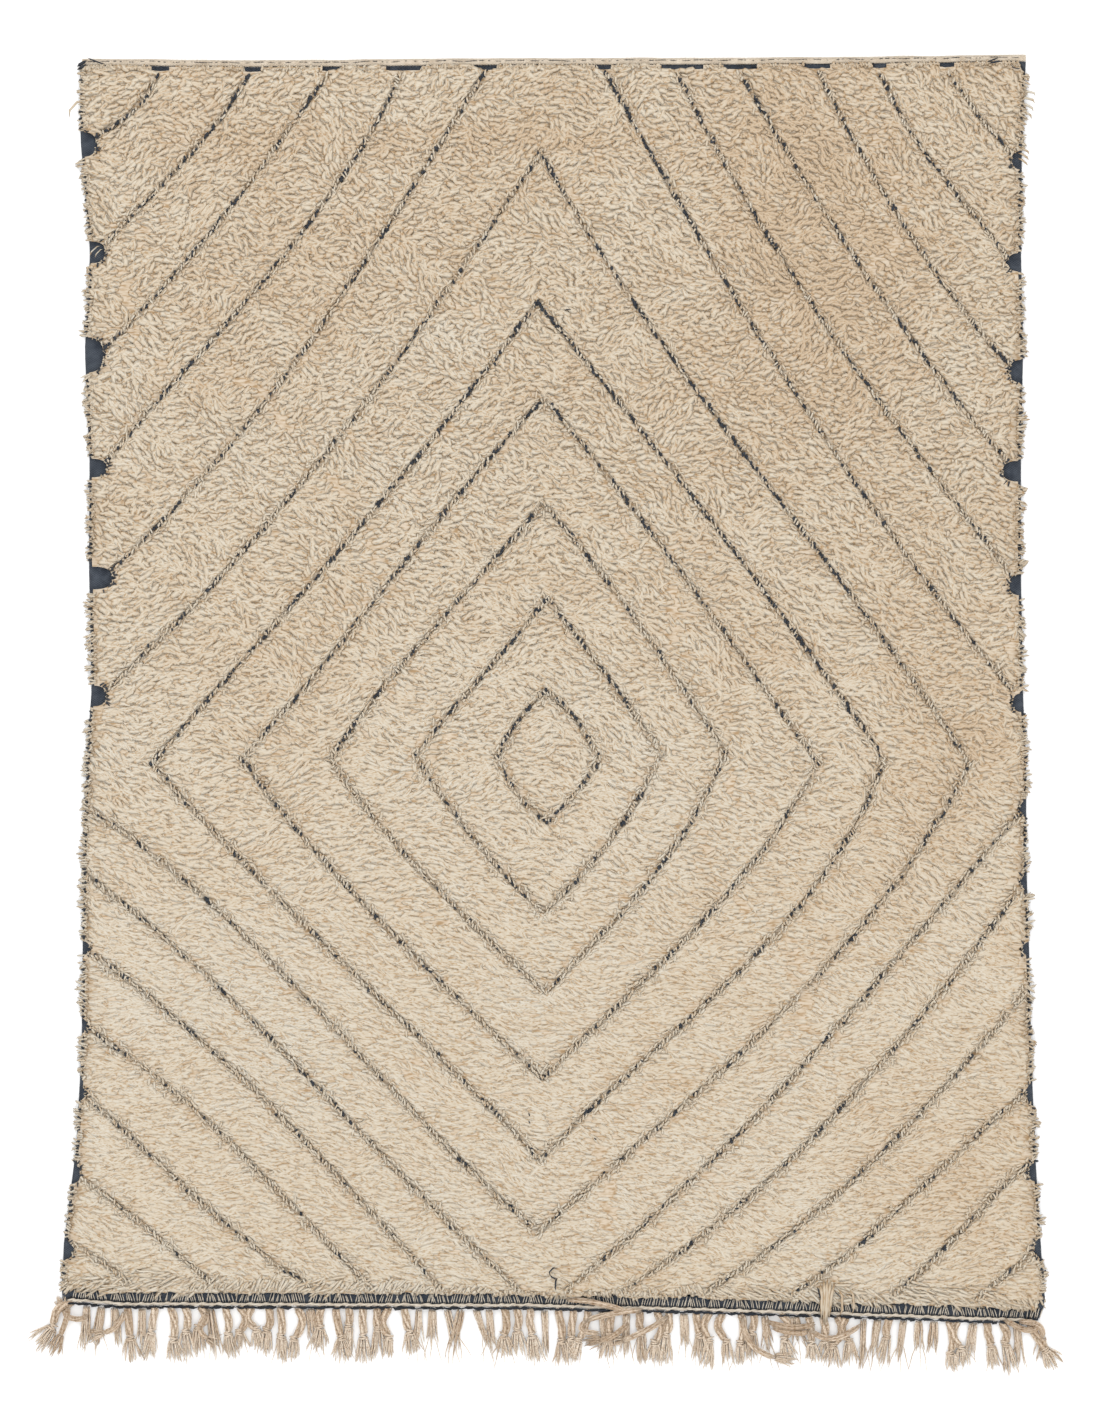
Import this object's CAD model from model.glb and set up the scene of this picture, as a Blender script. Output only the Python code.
"""Beni ourain rug: a cream shag pile on a navy ground, lying flat on a pale floor.

The pile is laid yarn by yarn over a lumpy backing. It leaves narrow bare lanes, where short navy
knots and the dark ground show as concentric diamonds. A flat band ends the rug at the top, and a
twined cord and a knotted fringe end it at the bottom.

Sizes are in metres. Places in the tables are measured from the middle of the innermost diamond,
with +X to the right and +Y towards the top band, and `SHIFT` brings them into the frame. A pair of
sizes is the least and the greatest of a range, unless its comment says otherwise.
"""

import math
import random

import bmesh
import bpy
import numpy as np
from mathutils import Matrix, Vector, noise
from mathutils.bvhtree import BVHTree
from mathutils.kdtree import KDTree


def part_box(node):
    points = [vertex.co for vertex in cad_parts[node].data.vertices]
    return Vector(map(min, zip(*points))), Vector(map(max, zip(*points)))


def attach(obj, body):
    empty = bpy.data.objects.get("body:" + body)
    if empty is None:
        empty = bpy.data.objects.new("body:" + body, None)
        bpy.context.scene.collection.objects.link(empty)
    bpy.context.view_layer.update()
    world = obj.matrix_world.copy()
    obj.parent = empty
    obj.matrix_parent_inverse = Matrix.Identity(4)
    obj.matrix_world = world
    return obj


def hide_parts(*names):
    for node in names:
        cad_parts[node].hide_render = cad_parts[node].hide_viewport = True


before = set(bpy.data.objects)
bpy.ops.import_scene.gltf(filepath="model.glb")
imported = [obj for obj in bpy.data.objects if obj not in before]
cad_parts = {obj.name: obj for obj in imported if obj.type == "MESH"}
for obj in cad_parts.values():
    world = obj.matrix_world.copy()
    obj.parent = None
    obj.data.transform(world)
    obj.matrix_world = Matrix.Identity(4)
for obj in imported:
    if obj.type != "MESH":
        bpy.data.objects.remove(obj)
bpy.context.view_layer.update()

SEED = 23

# The picture.
IMAGE_SIZE = (1103, 1426)  # pixels across and down
PIXEL = 0.0019  # one pixel of the picture on the rug
IMAGE_MIDDLE = (0.01235, 0.0855)  # x, y of its middle
PILE_LEVEL = 0.016  # the height at which a pixel has that size
CAMERA_HEIGHT = 7.0

# The rug's edges, as the solids have them.
GROUND_THICK = 0.003
SELVEDGES = (  # y, left x, right x
    (1.332, -0.885, 0.916),
    (1.174, -0.884, 0.908),
    (0.965, -0.866, 0.906),
    (0.775, -0.876, 0.910),
    (0.566, -0.867, 0.906),
    (0.357, -0.868, 0.906),
    (0.129, -0.863, 0.910),
    (-0.004, -0.872, 0.916),
    (-0.175, -0.878, 0.916),
    (-0.365, -0.880, 0.922),
    (-0.555, -0.882, 0.926),
    (-0.745, -0.892, 0.934),
    (-0.935, -0.916, 0.946),
    (-1.030, -0.920, 0.954),
)
TOP_EDGE = (  # x, y of the band's outer edge
    (-0.885, 1.331),
    (-0.550, 1.328),
    (-0.080, 1.332),
    (0.360, 1.333),
    (0.620, 1.335),
    (0.916, 1.339),
)
BOTTOM_EDGE = (  # x, y of the cord's middle
    (-0.912, -1.030),
    (-0.800, -1.037),
    (-0.030, -1.040),
    (0.300, -1.048),
    (0.600, -1.057),
    (0.930, -1.069),
)

# Patches without pile along the selvedges, and dashes without it under the top band.
LEFT_PATCHES = (  # y, half height, depth
    (1.166, 0.024, 0.030),
    (0.961, 0.021, 0.030),
    (0.766, 0.034, 0.036),
    (0.551, 0.018, 0.034),
    (0.342, 0.022, 0.046),
    (0.118, 0.020, 0.030),
    (-0.361, 0.012, 0.014),
    (-0.509, 0.012, 0.012),
    (-0.637, 0.012, 0.012),
    (-0.790, 0.018, 0.014),
    (-0.935, 0.018, 0.018),
)
RIGHT_PATCHES = (
    (1.136, 0.018, 0.020),
    (0.942, 0.018, 0.026),
    (0.735, 0.022, 0.026),
    (0.545, 0.020, 0.036),
    (0.329, 0.020, 0.024),
    (0.105, 0.018, 0.022),
    (-0.095, 0.012, 0.012),
    (-0.236, 0.014, 0.012),
    (-0.363, 0.012, 0.014),
    (-0.638, 0.020, 0.014),
    (-0.787, 0.018, 0.018),
    (-0.931, 0.018, 0.016),
)
SIDES = (  # column of SELVEDGES, the way outwards along X, patches
    (1, -1, LEFT_PATCHES),
    (2, 1, RIGHT_PATCHES),
)
PATCH_ROUND = 0.7  # how round the patches are: 1 is an oval and 0 a rectangle
TOP_BARE = (  # x, half width
    (-0.731, 0.017),
    (-0.556, 0.018),
    (-0.405, 0.018),
    (-0.268, 0.034),
    (-0.112, 0.022),
    (0.111, 0.016),
    (0.261, 0.040),
    (0.371, 0.032),
    (0.517, 0.025),
    (0.635, 0.014),
    (0.764, 0.014),
)
TOP_BARE_DEPTH = 0.0105  # from the band's inner edge
TOP_BARE_CLEAR = 0.7  # the share of it that the strands keep out of

# Lanes, from the innermost diamond outwards. Each row is one side: where it starts, how far it
# bows to its left at one third and at two thirds of its length, where it ends, and how dark it
# shows at its start, middle and end.
UPPER_LEFT = (  # x0, y0, first bow, second bow, x1, y1, dark at the start, middle and end
    (0.000, 0.129, -0.006, -0.009, -0.091, 0.000, 0.9, 0.9, 0.8),
    (0.004, 0.306, 0.003, 0.000, -0.248, 0.004, 0.8, 0.9, 0.7),
    (-0.004, 0.486, -0.003, -0.008, -0.410, -0.002, 0.7, 0.7, 0.7),
    (-0.002, 0.684, -0.005, 0.002, -0.576, -0.002, 0.7, 0.6, 0.6),
    (-0.015, 0.866, 0.015, 0.012, -0.748, -0.009, 0.8, 0.7, 0.6),
    (-0.008, 1.151, 0.034, 0.040, -0.834, 0.129, 0.3, 0.5, 0.5),
    (-0.112, 1.307, 0.032, 0.042, -0.821, 0.361, 0.9, 0.5, 0.7),
    (-0.270, 1.307, 0.034, 0.020, -0.832, 0.564, 0.6, 0.7, 0.5),
    (-0.408, 1.307, 0.015, 0.017, -0.840, 0.775, 0.6, 0.55, 0.5),
    (-0.560, 1.303, 0.015, 0.009, -0.838, 0.973, 0.8, 0.65, 0.7),
    (-0.735, 1.300, 0.018, 0.016, -0.857, 1.182, 0.6, 0.7, 0.8),
)
UPPER_RIGHT = (
    (0.000, 0.129, 0.011, 0.008, 0.104, 0.000, 0.4, 0.7, 0.8),
    (0.004, 0.306, 0.002, 0.003, 0.222, 0.008, 0.7, 0.9, 0.3),
    (-0.004, 0.486, 0.010, 0.007, 0.344, 0.011, 0.6, 0.5, 0.5),
    (-0.002, 0.684, 0.010, 0.007, 0.519, -0.011, 0.6, 0.6, 0.5),
    (-0.015, 0.866, 0.011, 0.011, 0.646, -0.004, 0.9, 0.9, 0.7),
    (-0.008, 1.151, -0.019, -0.003, 0.807, -0.011, 0.4, 1.0, 0.4),
    (0.112, 1.307, -0.028, -0.032, 0.893, 0.122, 0.9, 0.7, 0.5),
    (0.249, 1.303, -0.029, -0.026, 0.887, 0.350, 0.4, 0.5, 0.4),
    (0.369, 1.303, -0.017, -0.019, 0.889, 0.551, 0.8, 0.4, 0.6),
    (0.519, 1.303, -0.019, -0.021, 0.883, 0.745, 0.5, 0.3, 0.6),
    (0.636, 1.303, -0.017, -0.011, 0.880, 0.950, 0.7, 0.6, 0.5),
    (0.764, 1.307, -0.006, -0.006, 0.889, 1.148, 0.5, 0.3, 0.7),
)
LOWER_LEFT = (
    (-0.091, 0.000, -0.009, -0.011, 0.004, -0.122, 0.7, 0.7, 0.7),
    (-0.248, 0.004, -0.012, -0.013, -0.002, -0.293, 0.5, 0.6, 0.7),
    (-0.410, -0.002, -0.017, -0.015, 0.002, -0.445, 0.5, 0.5, 0.5),
    (-0.576, -0.002, -0.019, -0.014, -0.006, -0.610, 0.6, 0.8, 0.4),
    (-0.748, -0.009, -0.008, -0.002, -0.008, -0.764, 0.7, 0.6, 0.5),
    (-0.865, -0.095, 0.026, 0.007, -0.013, -0.901, 0.6, 0.4, 0.6),
    (-0.868, -0.224, 0.019, 0.005, -0.048, -1.011, 0.7, 0.6, 0.4),
    (-0.868, -0.365, 0.026, 0.021, -0.200, -1.007, 0.8, 0.5, 0.4),
    (-0.872, -0.513, 0.024, 0.016, -0.329, -1.007, 0.6, 0.4, 0.2),
    (-0.878, -0.638, -0.006, -0.013, -0.447, -1.003, 0.7, 0.7, 0.3),
    (-0.887, -0.794, 0.005, 0.003, -0.627, -1.003, 0.3, 0.5, 0.2),
    (-0.899, -0.923, 0.004, 0.004, -0.788, -0.999, 0.2, 0.2, 0.2),
)
LOWER_RIGHT = (
    (0.104, 0.000, 0.007, 0.005, 0.004, -0.122, 0.7, 0.8, 0.6),
    (0.222, 0.008, 0.017, 0.017, -0.002, -0.293, 0.4, 0.9, 0.4),
    (0.344, 0.011, 0.029, 0.023, 0.002, -0.445, 0.5, 0.7, 0.4),
    (0.519, -0.011, 0.032, 0.022, -0.006, -0.610, 0.5, 0.8, 0.5),
    (0.646, -0.004, 0.058, 0.032, -0.008, -0.764, 0.7, 0.7, 0.6),
    (0.807, -0.011, 0.060, 0.043, -0.013, -0.901, 0.6, 0.6, 0.5),
    (0.908, -0.095, 0.026, 0.034, 0.038, -1.011, 0.5, 0.7, 0.6),
    (0.906, -0.243, 0.041, 0.048, 0.152, -1.011, 0.8, 0.6, 0.6),
    (0.914, -0.445, 0.029, 0.034, 0.304, -1.015, 0.4, 0.6, 0.4),
    (0.914, -0.635, 0.003, 0.011, 0.466, -1.022, 0.4, 0.8, 0.4),
    (0.918, -0.771, 0.000, 0.004, 0.655, -1.026, 0.7, 0.5, 0.6),
    (0.933, -0.935, -0.001, -0.001, 0.817, -1.030, 0.8, 0.7, 0.6),
)
BOW_SCALE = 13.5  # brings each bow's curve to 1 at its own third
LANE_STEP = 0.003
LOWER_FAINT = 0.33  # how much fainter the lanes are in the rug's lower part

# Ground cloth.
GROUND_GRID = (70, 110)  # squares across and along
GROUND_PAST_CORD = 0.0020
GROUND_TO_BAND = 0.0005
GROUND_CORNER = 0.008  # how far it may pass the cord's ends
GROUND_FLARE = 0.5  # and how much further for each metre above the cord

# Pile: locks of a few yarns between the lanes, and single yarns along lanes and edges.
LOCK_PITCH = 0.0114
LOCK_WIDTH = (0.0110, 0.0148)
LOCK_LENGTH = (0.026, 0.038)
LOCK_SHARES = (0.0, 0.2, 0.5, 0.8, 1.0)  # stations along a lock
LOCK_SIZES = (0.0, 0.95, 1.0, 0.8, 0.0)  # its width there
LOCK_LIFT = (0.0006, 0.0020)
LOCK_PIECES = 5
YARN_SHARES = (0.0, 0.28, 0.78, 1.0)
YARN_SIZES = (0.0, 1.0, 0.88, 0.0)
PILE_FLAT = 0.12  # thickness as a share of the width
PILE_GRAIN = 8.0  # how far a metre across a lock goes across its map
BACKING_SHARE = 0.70  # the backing's height against the solid's
BACKING_NAVY = (0.0120, 0.0133)  # it is navy up to the first height, and tan from the second
TONE_FIELDS = (  # x, y in the frame, reach across and along, how much paler the pile is there
    (-0.20, 1.10, 0.70, 0.035, -0.35),
    (-0.19, 0.72, 0.09, 0.07, 0.35),
    (0.45, 0.85, 0.30, 0.30, -0.18),
    (-0.60, 0.62, 0.10, 0.06, -0.20),
    (0.75, -0.05, 0.10, 0.30, -0.15),
    (0.00, -0.15, 0.45, 0.35, 0.14),
    (-0.10, -0.75, 0.50, 0.20, 0.16),
)
LANE_FILL = 0.55  # how much of a lane's depth in the backing the knots' feet fill
LANE_ROOM = (0.0004, 0.0028)  # half width of a bare lane
ROOT_DEPTH = 0.001  # how far a strand starts below the backing's surface
SLOPE_DROP = 0.010  # how far it drops at most from one station to the next
PILE_LOWEST = 0.001  # and how low it may hang past the backing's edge
RIM_IN = 0.002  # the backing ends this far within the selvedges, under the yarns of the rim
OVER_BAND = 0.0060  # how far strands may pass the band's inner edge
PILE_TO_CORD = 0.021
HEM_LOW_END = -0.80  # left of this the pile's lower rim hangs down to the cord
HEM_OVER = 0.012  # how far it runs on past the cord's right end
HEM_SWEEP = (  # x, how far the hem's yarns turn from straight down
    (-0.910, -0.3),
    (-0.82, -0.85),
    (-0.5, -0.95),
    (-0.2, -0.6),
    (0.2, 0.5),
    (0.8, 1.0),
    (0.930, 0.6),
)
HEM_LENGTH = (0.012, 0.046)
PALE_STROKES = (0.011, 0.018), (0.0046, 0.0066), (0.0036, 0.0052)  # lengths, lifts, widths
NAVY_STROKES = (0.006, 0.012), (0.0042, 0.0062), (0.0040, 0.0068)
LANE_EDGE_YARNS = 0.4, (0.0010, 0.0030), (0.0050, 0.0070)  # curl, lifts, widths
HEADING_YARNS = 0.3, (0.001, 0.004), (0.0050, 0.0070)
HEM_YARNS = 0.3, (0.001, 0.0035), (0.0056, 0.0080)
PATCH_RIM_YARNS = 0.6, (0.001, 0.003), (0.0026, 0.0044)
CREAM_RIM = (0.0034, 0.012)  # step along a selvedge, how much deeper some roots lie
NAVY_RIM = (0.0105, 0.004)
# Yarns for each metre of a patch's half height, start past its rim, turn, greatest length.
CREAM_PATCH_RIM = (600.0, 0.004, 0.0, 0.010)
NAVY_PATCH_RIM = (560.0, -0.002, math.pi, 0.016)
LOOSE_LIFT = 0.007  # how far the loose yarns lie over the backing
LOOSE_LEVEL = (1.0, 1.0, 1.0, 0.5)  # their least height against the root's, at each station

# Single yarns that someone would miss: where they start, bend and end, width and tone.
LOOSE_CREAM = (
    (-0.874, 1.243, -0.904, 1.258, -0.905, 1.214, 0.0055, 0.3),
    (-0.866, 0.953, -0.862, 0.972, -0.845, 0.974, 0.0030, 1.0),
    (-0.856, 0.950, -0.853, 0.966, -0.840, 0.968, 0.0026, 0.9),
    (0.906, 1.262, 0.928, 1.276, 0.933, 1.258, 0.0050, 0.8),
    (0.904, 1.250, 0.922, 1.262, 0.932, 1.244, 0.0060, 0.7),
    (0.905, 1.240, 0.924, 1.246, 0.929, 1.228, 0.0055, 0.8),
    (0.904, 1.228, 0.920, 1.232, 0.926, 1.214, 0.0050, 0.6),
    (0.900, 1.158, 0.915, 1.160, 0.921, 1.147, 0.0050, 0.0),
    (0.898, 1.150, 0.914, 1.150, 0.920, 1.136, 0.0050, 0.0),
    (0.899, 1.140, 0.912, 1.138, 0.918, 1.126, 0.0045, 0.0),
    (0.280, 0.131, 0.286, 0.128, 0.291, 0.123, 0.0045, 0.0),
    (0.278, 0.124, 0.284, 0.122, 0.290, 0.129, 0.0045, 0.0),
    (0.696, -0.327, 0.702, -0.330, 0.707, -0.326, 0.0045, 0.0),
    (0.522, -0.996, 0.528, -1.022, 0.525, -1.070, 0.0080, 0.30),
    (0.529, -0.988, 0.531, -1.020, 0.530, -1.078, 0.0090, 0.45),
    (0.536, -0.985, 0.534, -1.020, 0.533, -1.080, 0.0090, 0.30),
    (0.543, -0.988, 0.537, -1.022, 0.536, -1.074, 0.0085, 0.40),
    (0.550, -0.996, 0.540, -1.024, 0.540, -1.068, 0.0075, 0.20),
    (0.556, -1.006, 0.574, -1.030, 0.560, -1.062, 0.0060, 0.0),
    (0.578, -1.008, 0.594, -1.026, 0.584, -1.058, 0.0055, 0.1),
)
LOOSE_NAVY = (
    (-0.890, 1.314, -0.882, 1.321, -0.871, 1.326, 0.0075, 0.3),
    (-0.890, 1.308, -0.880, 1.314, -0.872, 1.319, 0.0065, 0.5),
    (-0.871, 1.332, -0.857, 1.324, -0.836, 1.319, 0.0034, 0.3),
    (0.838, 1.321, 0.850, 1.327, 0.863, 1.331, 0.0032, 0.3),
    (0.842, 1.318, 0.855, 1.323, 0.869, 1.325, 0.0044, 0.5),
    (0.884, 1.318, 0.891, 1.302, 0.904, 1.311, 0.0028, 0.4),
    (0.898, 1.323, 0.911, 1.316, 0.913, 1.300, 0.0034, 0.3),
    (0.026, -0.968, 0.004, -0.964, 0.009, -0.983, 0.0036, 0.2),
    (0.009, -0.979, 0.014, -0.991, 0.024, -0.988, 0.0036, 0.2),
    (0.024, -0.986, 0.016, -0.996, 0.021, -1.012, 0.0040, 0.2),
    (-0.195, 0.364, -0.192, 0.363, -0.189, 0.361, 0.0032, 0.3),
    (-0.031, -0.673, -0.030, -0.676, -0.029, -0.680, 0.0030, 0.4),
    (-0.031, -0.688, -0.030, -0.691, -0.028, -0.694, 0.0030, 0.4),
    (-0.011, -0.608, -0.008, -0.610, -0.005, -0.612, 0.0028, 0.4),
    (0.093, -0.720, 0.095, -0.723, 0.098, -0.725, 0.0030, 0.4),
    (0.155, -0.602, 0.158, -0.604, 0.161, -0.606, 0.0045, 0.2),
    (0.036, 0.847, 0.044, 0.856, 0.050, 0.850, 0.0026, 0.4),
    (0.516, -1.003, 0.521, -1.012, 0.523, -1.030, 0.0032, 0.4),
    (0.549, -1.011, 0.555, -1.018, 0.563, -1.025, 0.0024, 0.9),
)

# Top band, with a thin cord along its outer edge and a broken dark thread beside that.
BAND_ENDS = (-0.868, 0.902)
BAND_REACH = 0.013  # how far the cloth runs on past the solid's ends, to the rug's corners
BAND_WIDTH = 0.013
BAND_THICK = 0.0014
BAND_LIFT = 0.0006
BAND_RIB = 0.0056  # from one rib to the next
BAND_PROFILE = (  # share of the width from the outer edge, height
    (0.00, 0.0022),
    (0.12, 0.0034),
    (0.30, 0.0038),
    (0.60, 0.0042),
    (0.94, 0.0042),
    (1.00, 0.0034),
)
EDGE_CORD_IN = 0.0018  # from the outer edge to its middle
EDGE_CORD_LEVEL = 0.0036
EDGE_CORD_WIDTH = 0.0026
EDGE_CORD_TURN = 0.016
BROKEN_THREAD_IN = 0.0050
BROKEN_THREAD_LEVEL = 0.0048
BAND_STITCH_PITCH = 0.0052

# Bottom cord, with dark threads along it.
CORD_ENDS = (-0.910, 0.930)
CORD_WIDTH = 0.0095
CORD_TURN = 0.030
CORD_STATIONS = 420
CORD_LEVEL = 0.0050
PLY_WIDTH = 0.0044
LOW_THREAD_IN = 0.0060  # below the cord's middle
LOW_THREAD_LEVEL = 0.0088
LOW_THREAD_WIDTH = 0.0052
HIGH_THREAD_OUT = 0.0030  # above the cord's middle
HIGH_THREAD_WIDTH = 0.0022
HIGH_THREAD_END = -0.780  # where it ends, from its left end
WARP_PITCH = 0.0047

# Fringe: trunks wound from three plies, knots and brushes.
TRUNK_SHARES = tuple(np.linspace(0, 1, 9))
TRUNK_SIZES = (0.0, 0.9, 1.0, 1.0, 1.0, 1.0, 1.0, 0.9, 0.0)
TRUNK_SWING = (0.0042, 0.0022)  # how far its plies swing sideways and up
TRUNK_PLY = (0.0080, 0.0094)
GROOVE_SWING = 0.0056  # how far the dark threads between the plies swing sideways
GROOVE_LEVEL = 0.0044
GROOVE_WIDTH = 0.0025
KNOT_TURNS = (-0.0035, 0.0005, 0.0045)  # places along the bundle
KNOT_HALF = 0.0092
KNOT_SLANT = 0.004
KNOT_WIDTH = (0.0050, 0.0062)
BRUSH_SHARES = (0.0, 0.12, 0.36, 0.62, 0.86, 1.0)
BRUSH_SIZES = (0.0, 0.9, 1.0, 0.85, 0.55, 0.0)
FRINGE_GRAIN = 12.0
SWEPT = (  # start, bend, end, length of the brush, tone
    (-0.868, -1.060, -0.902, -1.078, -0.916, -1.050, 0.034, 0.35),
    (-0.905, -1.044, -0.912, -1.075, -0.922, -1.100, 0.050, 0.30),
    (-0.800, -1.052, -0.806, -1.085, -0.842, -1.094, 0.040, 0.55),
    (-0.640, -1.054, -0.672, -1.090, -0.640, -1.104, 0.030, 0.50),
    (0.040, -1.030, 0.104, -1.030, 0.160, -1.056, 0.000, 0.45),
    (0.186, -1.050, 0.127, -1.052, 0.078, -1.070, 0.000, 0.55),
    (0.078, -1.070, 0.050, -1.094, 0.106, -1.094, 0.000, 0.60),
    (0.160, -1.075, 0.127, -1.104, 0.104, -1.108, 0.038, 0.10),
    (0.236, -1.060, 0.180, -1.100, 0.146, -1.106, 0.034, 0.65),
    (0.374, -1.062, 0.380, -1.130, 0.440, -1.140, 0.050, 0.55),
    (0.420, -1.070, 0.475, -1.094, 0.514, -1.074, 0.000, 0.15),
    (0.430, -1.082, 0.480, -1.100, 0.500, -1.090, 0.000, 0.20),
    (0.507, -1.087, 0.536, -1.126, 0.604, -1.076, 0.000, 0.60),
    (0.900, -1.072, 0.950, -1.068, 0.946, -1.104, 0.052, 0.45),
    (0.872, -1.066, 0.916, -1.100, 0.944, -1.080, 0.000, 0.25),
)
SWEPT_SIZE = 0.72  # how thick those are against the others
FRINGE_SEED = 11
BUNDLES = 70
FRINGE_ENDS = (-0.912, 0.936)
BUNDLE_ROOM = 0.021  # least distance between the tips of two neighbours
ROOT_JITTER = 0.10
FRINGE_LENGTH = 0.106
FRINGE_UNEVEN = 0.012
FRINGE_LEAN = 0.032
LEAN_WAVES = 2.3
OWN_LEAN = 0.008
END_LEAN = 0.056
STRIP_WIDTH = 0.004


# ---- Places ----

def read_off(table, at, column):
    """A column of a table at places between its rows."""
    rows = sorted(table)
    return np.interp(at, [row[0] for row in rows], [row[column] for row in rows])


def rug_shift():
    """From the tables' origin to the frame's."""
    low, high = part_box("top_band")
    return np.array([low.x - BAND_ENDS[0], high.y - read_off(TOP_EDGE, BAND_ENDS[1], 1)])


SHIFT = rug_shift()


def in_frame(x, y, z=None):
    """Places in the frame, from the tables' x and y, and a height where there is one."""
    flat = np.stack([x, y], axis=-1) + SHIFT
    if z is None:
        return flat
    return np.concatenate([flat, np.broadcast_to(z, flat.shape[:-1])[..., None]], axis=-1)


def ripple(places, waves, seed):
    """Smooth unevenness between about -1 and 1 at many places."""
    return np.array([noise.noise(Vector((x * waves, y * waves, seed))) for x, y in places]) * 1.6


def sway(x, waves, seed):
    """The same along one line."""
    return ripple(np.column_stack([x, x * 0]), waves, seed)


def aimed(angles):
    """Unit vectors in the floor's plane."""
    return np.stack([np.cos(angles), np.sin(angles)], axis=1)


def lane_run(row):
    """Places, headings and darkness along one side of a diamond."""
    start, end = np.array(row[0:2]), np.array(row[4:6])
    way = end - start
    length = np.hypot(*way)
    left = np.array([-way[1], way[0]]) / length
    t = np.linspace(0, 1, round(length / LANE_STEP) + 1)[:, None]
    bow = (2 / 3 - t) * row[2] + (t - 1 / 3) * row[3]
    places = start + way * t + left * bow * BOW_SCALE * t * (1 - t)
    headings = np.gradient(places, axis=0)
    dark = np.interp(t[:, 0], (0, 0.5, 1), row[6:9])
    return places, np.arctan2(headings[:, 1], headings[:, 0]), dark


class Lanes:
    """All the lanes, as closely spaced places that can be searched."""

    def __init__(self):
        rows = UPPER_LEFT + UPPER_RIGHT + LOWER_LEFT + LOWER_RIGHT
        places, headings, steady = (np.concatenate(part) for part in zip(*map(lane_run, rows)))
        self.places, self.headings = places + SHIFT, headings
        steady = steady - LOWER_FAINT * (1 - upper_share(self.places))
        clumps = 0.50 * ripple(self.places, 30.0, 4.0) + 0.45 * ripple(self.places, 90.0, 18.0)
        self.dark = np.clip(steady + clumps, 0, 1)
        self.tree = KDTree(len(self.places))
        for i, place in enumerate(self.places):
            self.tree.insert((*place, 0.0), i)
        self.tree.balance()

    def nearest(self, places):
        """The nearest lane place to each place, and how far it is."""
        found = [self.tree.find((x, y, 0.0)) for x, y in places]
        return np.array([hit[1] for hit in found]), np.array([hit[2] for hit in found])

    def room(self, near):
        """Half the width that is bare at some of the lanes' places."""
        return LANE_ROOM[0] + (LANE_ROOM[1] - LANE_ROOM[0]) * self.dark[near]


def rim_gap(x):
    """How far above the cord the pile ends, unevenly."""
    return PILE_TO_CORD + 0.0065 * sway(x, 20.0, 11.0) + 0.0040 * sway(x, 75.0, 12.0)


def patch_depth(along):
    """How deep a patch is against its deepest, at shares of its half height."""
    return np.maximum(1 - np.abs(along) ** (2 / PATCH_ROUND), 0) ** (PATCH_ROUND / 2)


def bare(places, margin):
    """Which places lie on a patch or a dash that has no pile, or within a margin of it."""
    x, y = (places - SHIFT).T
    found = np.zeros(len(x), bool)
    for column, sign, patches in SIDES:
        inward = sign * (read_off(SELVEDGES, y, column) - x)
        for middle, half, depth in patches:
            deep = patch_depth((y - middle) / (half + margin))
            found |= (deep > 0) & (inward < (depth + margin) * deep)
    below = read_off(TOP_EDGE, x, 1) - BAND_WIDTH - y
    for middle, half in TOP_BARE:
        found |= (np.abs(x - middle) < half) & (below < TOP_BARE_DEPTH * TOP_BARE_CLEAR)
    return found


# ---- Meshes ----

def shown(name, mesh, material, slot, *replaced):
    """Makes a mesh a piece of the rug."""
    made = bpy.data.objects.new(name, mesh)
    bpy.context.collection.objects.link(made)
    mesh.materials.append(material)
    mesh.shade_smooth()
    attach(made, "root")
    if replaced:
        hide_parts(*replaced)
    return made


def from_bmesh(name, bm):
    mesh = bpy.data.meshes.new(name)
    bm.to_mesh(mesh)
    bm.free()
    return mesh


def passing(name, bm):
    """An object that only helps to make another, and is removed again."""
    made = bpy.data.objects.new(name, from_bmesh(name, bm))
    bpy.context.collection.objects.link(made)
    return made


def solid_copy(name):
    """A merged copy of one of the frame's solids."""
    bm = bmesh.new()
    bm.from_mesh(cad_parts[name].data)
    bmesh.ops.remove_doubles(bm, verts=bm.verts, dist=1e-5)
    return bm


def cloth_strip(columns, rows, place, thick):
    """A sheet made from a grid: `place` takes shares across and along to places in the frame."""
    bm = bmesh.new()
    bmesh.ops.create_grid(bm, x_segments=columns, y_segments=rows, size=1)
    shares = np.array([vert.co[:2] for vert in bm.verts]) / 2 + 0.5
    for vert, spot in zip(bm.verts, place(shares[:, 0], shares[:, 1])):
        vert.co = spot
    bmesh.ops.recalc_face_normals(bm, faces=bm.faces)
    bm.normal_update()
    if sum(face.normal.z for face in bm.faces) < 0:
        bmesh.ops.reverse_faces(bm, faces=bm.faces)
    bmesh.ops.solidify(bm, geom=bm.faces[:], thickness=thick)
    bmesh.ops.recalc_face_normals(bm, faces=bm.faces)
    return bm


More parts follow.
